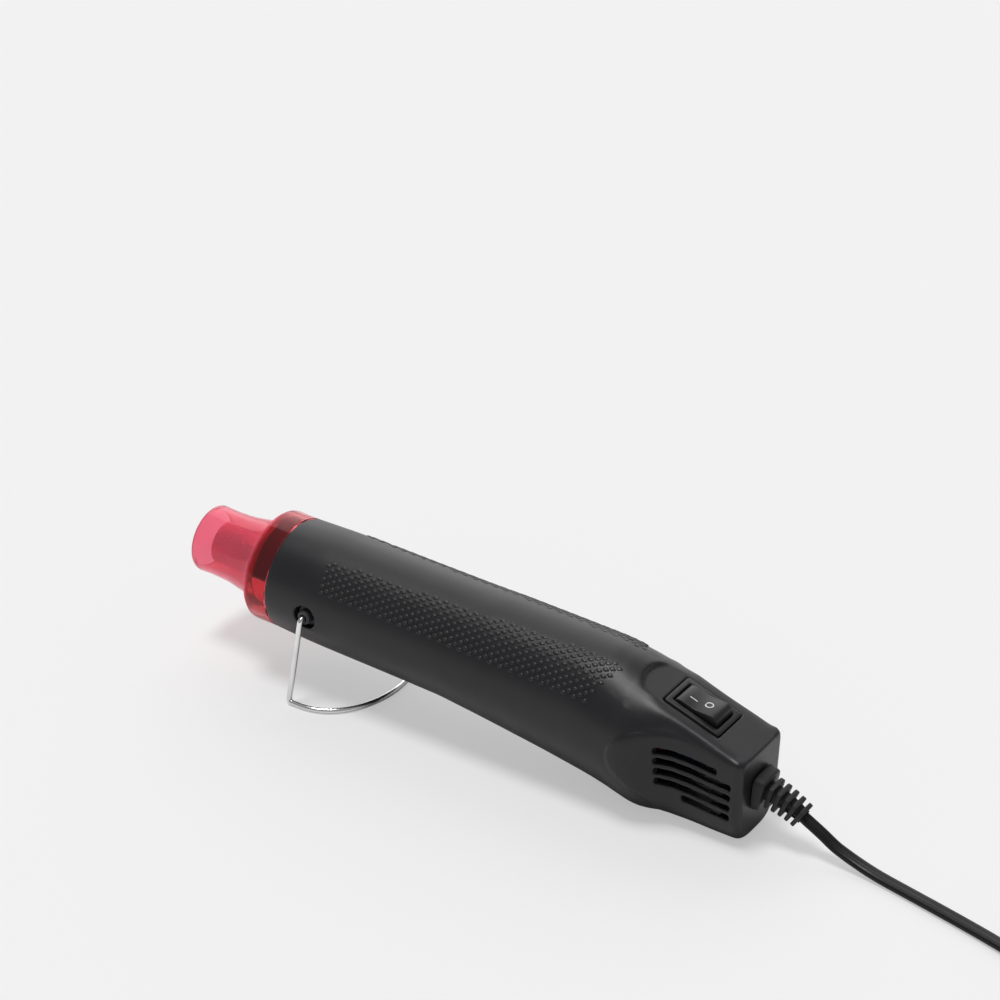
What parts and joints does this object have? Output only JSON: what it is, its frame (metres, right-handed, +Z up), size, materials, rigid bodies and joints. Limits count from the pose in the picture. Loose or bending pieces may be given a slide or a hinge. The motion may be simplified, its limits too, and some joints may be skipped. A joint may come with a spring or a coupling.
{
  "type": "hot air tool",
  "caption": "Slim handheld hot air tool with a black barrel, red nozzle guard, rocker switch, side vents, folding wire stand and mains cord.",
  "frame": {"origin": "centre of the bounding box at floor level, with the cord, its coil and its plug left out", "axes": "+X along the tool from the nozzle to the cord, +Z up, the switch facing up; the tool lies nose-up by 1.87 degrees on its stand and heel"},
  "size_m": [0.4528, 0.0797, 0.0545],
  "materials": {
    "shell": "black moulded plastic, satin, with a fine grip texture and glossier edges",
    "guard": "clear red plastic, glossy",
    "steel": "plain steel",
    "wire": "polished steel wire",
    "mica": "mica sheet, dull tan",
    "resistance_wire": "oxidised heating wire",
    "ceramic": "unglazed ceramic",
    "moulding": "dark heat-proof plastic",
    "copper": "copper and bronze",
    "brass": "plated brass",
    "magnet": "dark iron and ferrite",
    "rubber": "black rubber and cord jacket",
    "switch": "black plastic, satin gloss, light marks",
    "board": "green circuit board",
    "diode": "black moulded diode",
    "lead": "insulated leads"
  },
  "bodies": {
    "housing": {"housing_left": "shell", "housing_right": "shell", "nozzle_guard": "guard", "heat_shield": "steel", "outlet_tube": "steel", "motor_can": "steel", "thermal_fuse": "steel", "housing_screw_1": "steel", "housing_screw_2": "steel", "housing_screw_3": "steel", "housing_screw_4": "steel", "clamp_screw_1": "steel", "clamp_screw_2": "steel", "mica_sleeve": "mica", "mica_board_flat": "mica", "mica_board_upright": "mica", "heater_coil": "resistance_wire", "terminal_disc": "ceramic", "fan_duct": "moulding", "motor_end_cap": "moulding", "cord_clamp": "moulding", "front_bearing": "copper", "rear_bearing": "copper", "motor_terminal_1": "brass", "motor_terminal_2": "brass", "switch_terminal_1": "brass", "switch_terminal_2": "brass", "plug_blade_1": "brass", "plug_blade_2": "brass", "motor_magnet_1": "magnet", "motor_magnet_2": "magnet", "motor_cradle": "rubber", "stand_bush_left": "rubber", "stand_bush_right": "rubber", "strain_relief": "rubber", "power_cord": "rubber", "cord_coil": "rubber", "cord_tail": "rubber", "cord_tie": "rubber", "plug_body": "rubber", "switch_body": "switch", "rectifier_board": "board", "diode_1": "diode", "diode_2": "diode", "diode_3": "diode", "diode_4": "diode", "lead_live": "lead", "lead_neutral": "lead", "lead_switched": "lead", "heater_lead_1": "lead", "heater_lead_2": "lead"},
    "stand": {"stand_wire": "wire"},
    "rocker": {"switch_rocker": "switch"},
    "rotor": {"fan_impeller": "moulding", "motor_shaft": "steel", "armature_core": "magnet", "armature_winding_1": "copper", "armature_winding_2": "copper", "armature_winding_3": "copper", "commutator": "copper"}
  },
  "joints": [
    {"name": "stand_fold", "type": "hinge", "parent": "housing", "child": "stand", "pos_m": [-0.06442, 0, 0.03257], "axis": [0, 1, 0], "range_deg": [0, 95]},
    {"name": "rocker_toggle", "type": "hinge", "parent": "housing", "child": "rocker", "pos_m": [0.08095, 0, 0.03901], "axis": [0, 1, 0], "range_deg": [0, 16.6]},
    {"name": "fan_spin", "type": "hinge", "parent": "housing", "child": "rotor", "pos_m": [-0.02021, 0, 0.03213], "axis": [0.9995, 0, -0.0326], "continuous": true}
  ]
}
